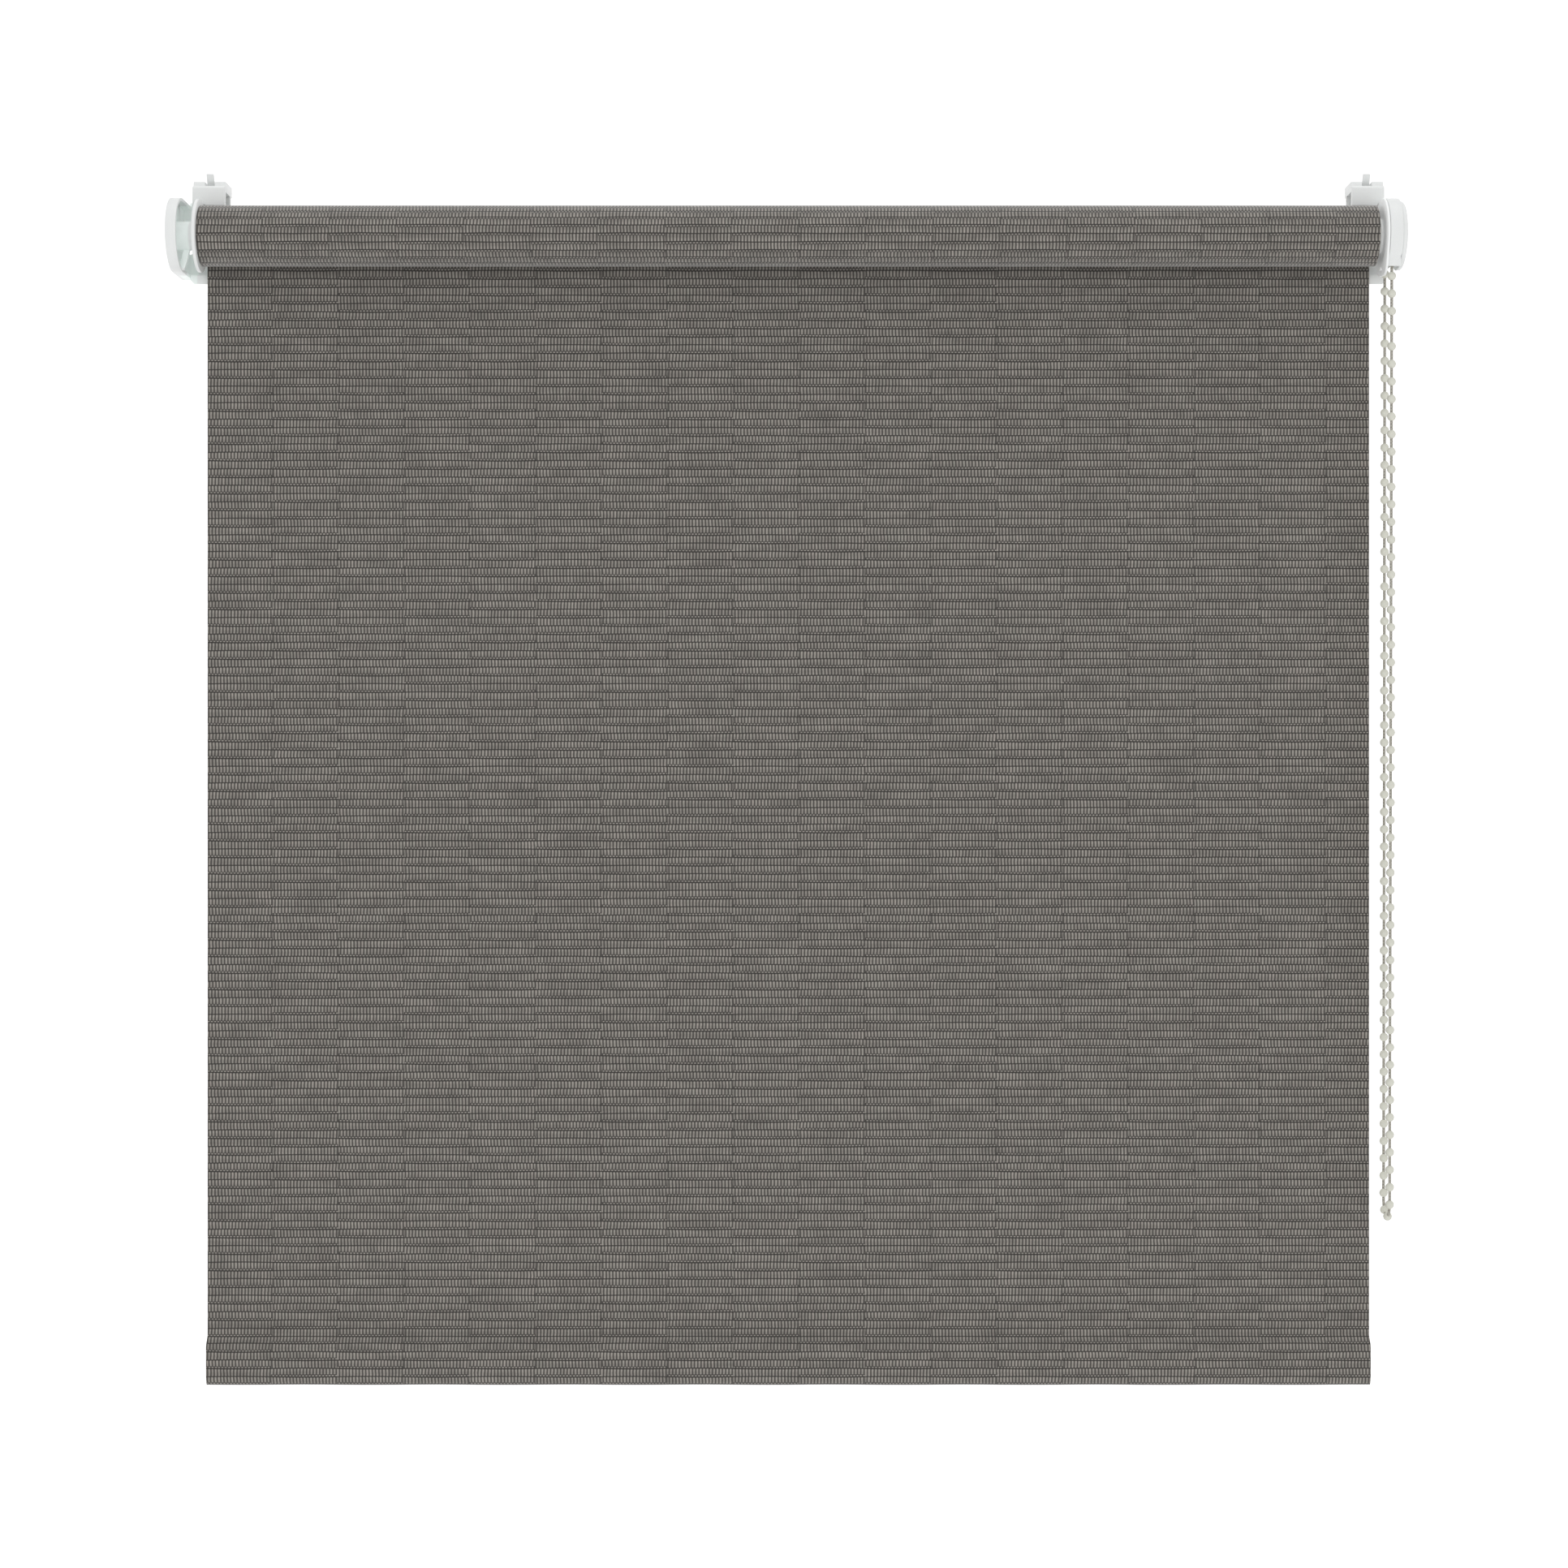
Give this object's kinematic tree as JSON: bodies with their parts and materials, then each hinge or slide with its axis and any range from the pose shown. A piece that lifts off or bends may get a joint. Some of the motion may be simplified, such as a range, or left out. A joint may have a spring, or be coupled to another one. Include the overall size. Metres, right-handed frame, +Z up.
{
  "type": "roller blind",
  "caption": "Window roller blind: a woven fabric sheet with a weighted hem, wound on a tube between clip-on end brackets and driven by a looped bead chain.",
  "frame": {"origin": "on the wall plane, at mid-width, level with the roller's axis", "axes": "+X to the right as seen from the room, +Y into the wall, +Z up"},
  "size_m": [0.6288, 0.046, 0.6248],
  "materials": {
    "white_plastic": "satin moulded, white",
    "natural_nylon": "satin moulded, natural",
    "bead_plastic": "smooth moulded, cream white",
    "chain_cord": "braided polyester, grey beige",
    "aluminium": "extruded, mill",
    "spring_steel": "drawn wire",
    "fabric": "ribbed slub weave, warm grey",
    "tape": "double-sided tape"
  },
  "bodies": {
    "brackets": {"left_wall_plate": "white_plastic", "left_side_bracket": "white_plastic", "right_wall_plate": "white_plastic", "right_side_bracket": "white_plastic", "control_flange": "white_plastic", "control_cap": "white_plastic", "clutch_core": "natural_nylon", "core_screw": "spring_steel", "bead_chain": "chain_cord"},
    "roller": {"roller_tube": "aluminium", "fabric_tape": "tape", "fabric_roll": "fabric", "idle_plug": "white_plastic", "drive_spigot": "white_plastic", "idle_pin_spring": "spring_steel"},
    "idle_pin": {"idle_pin": "natural_nylon"},
    "chain_drive": {"chain_wheel": "white_plastic", "wheel_chain": "bead_plastic", "wrap_spring_inner": "spring_steel", "wrap_spring_outer": "spring_steel"},
    "hem": {"fabric_sheet": "fabric", "hem_pocket": "fabric", "bottom_bar": "aluminium"},
    "left_tab": {"left_release_tab": "white_plastic"},
    "right_tab": {"right_release_tab": "white_plastic"}
  },
  "joints": [
    {"name": "roller_spin", "type": "hinge", "parent": "brackets", "child": "roller", "pos_m": [0, -0.027, 0], "axis": [1, 0, 0], "range_deg": [0, 1855]},
    {"name": "chain_wheel_spin", "type": "hinge", "parent": "brackets", "child": "chain_drive", "pos_m": [0.3069, -0.027, 0], "axis": [1, 0, 0], "range_deg": [0, 1855]},
    {"name": "hem_lift", "type": "slide", "parent": "brackets", "child": "hem", "axis": [0, 0, 1], "range_m": [0, 0.544], "deforming": ["fabric_sheet"]},
    {"name": "idle_pin_retract", "type": "slide", "parent": "roller", "child": "idle_pin", "axis": [1, 0, 0], "range_m": [0, 0.0084], "stiffness_N_per_m": 400, "springref_m": -0.006, "deforming": ["idle_pin_spring"]},
    {"name": "left_tab_press", "type": "hinge", "parent": "brackets", "child": "left_tab", "pos_m": [-0.2981, -0.0013, 0.0225], "axis": [1, 0, 0], "range_deg": [0, 8], "stiffness_Nm_per_rad": 0.5, "springref_deg": -1.15},
    {"name": "right_tab_press", "type": "hinge", "parent": "brackets", "child": "right_tab", "pos_m": [0.2981, -0.0013, 0.0225], "axis": [1, 0, 0], "range_deg": [0, 8], "stiffness_Nm_per_rad": 0.5, "springref_deg": -1.15}
  ],
  "couplings": [
    {"joint": "hem_lift", "follows": "roller_spin", "m_per_rad": 0.0168},
    {"joint": "chain_wheel_spin", "follows": "roller_spin", "ratio": 1}
  ]
}
